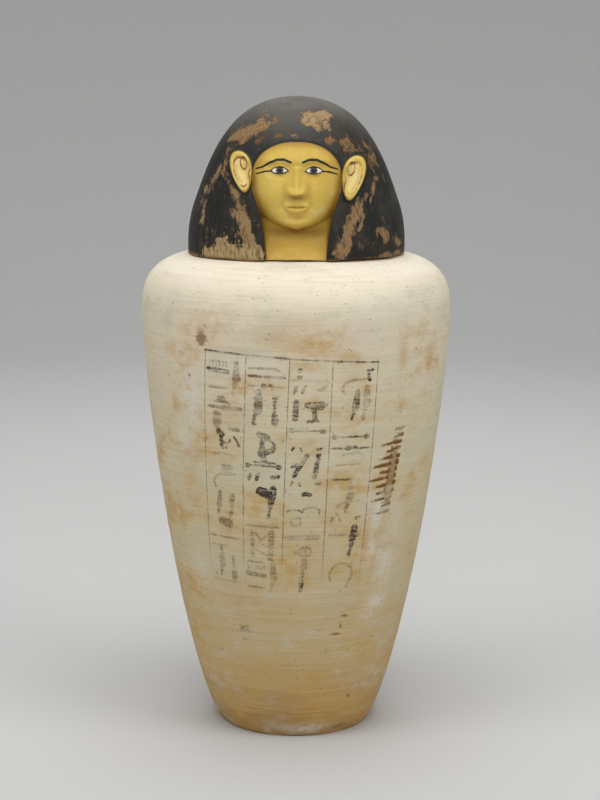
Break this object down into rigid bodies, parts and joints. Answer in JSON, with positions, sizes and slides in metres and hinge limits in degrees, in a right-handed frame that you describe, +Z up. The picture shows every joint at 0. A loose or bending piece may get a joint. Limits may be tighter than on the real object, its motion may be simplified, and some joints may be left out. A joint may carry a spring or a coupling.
{
  "type": "canopic jar",
  "caption": "Hollow shouldered pottery jar with a lift-off lid shaped as a human head in a plain wig, standing on its flat foot.",
  "frame": {"origin": "centre of the jar's flat foot", "axes": "+Z up along the jar's axis, the face of the lid and the painted columns look along -Y, +X to the viewer's right"},
  "size_m": [0.1956, 0.1956, 0.4],
  "materials": {
    "slipped_pottery": "cream slip on low-fired clay, hand-wiped and matt, browner towards the foot, with faded painted columns",
    "painted_pottery": "low-fired clay painted with a worn blue-black wig and a yellow ochre face, matt with a faint sheen"
  },
  "bodies": {
    "root": {"jar": "slipped_pottery", "lid": "painted_pottery"}
  },
  "joints": []
}
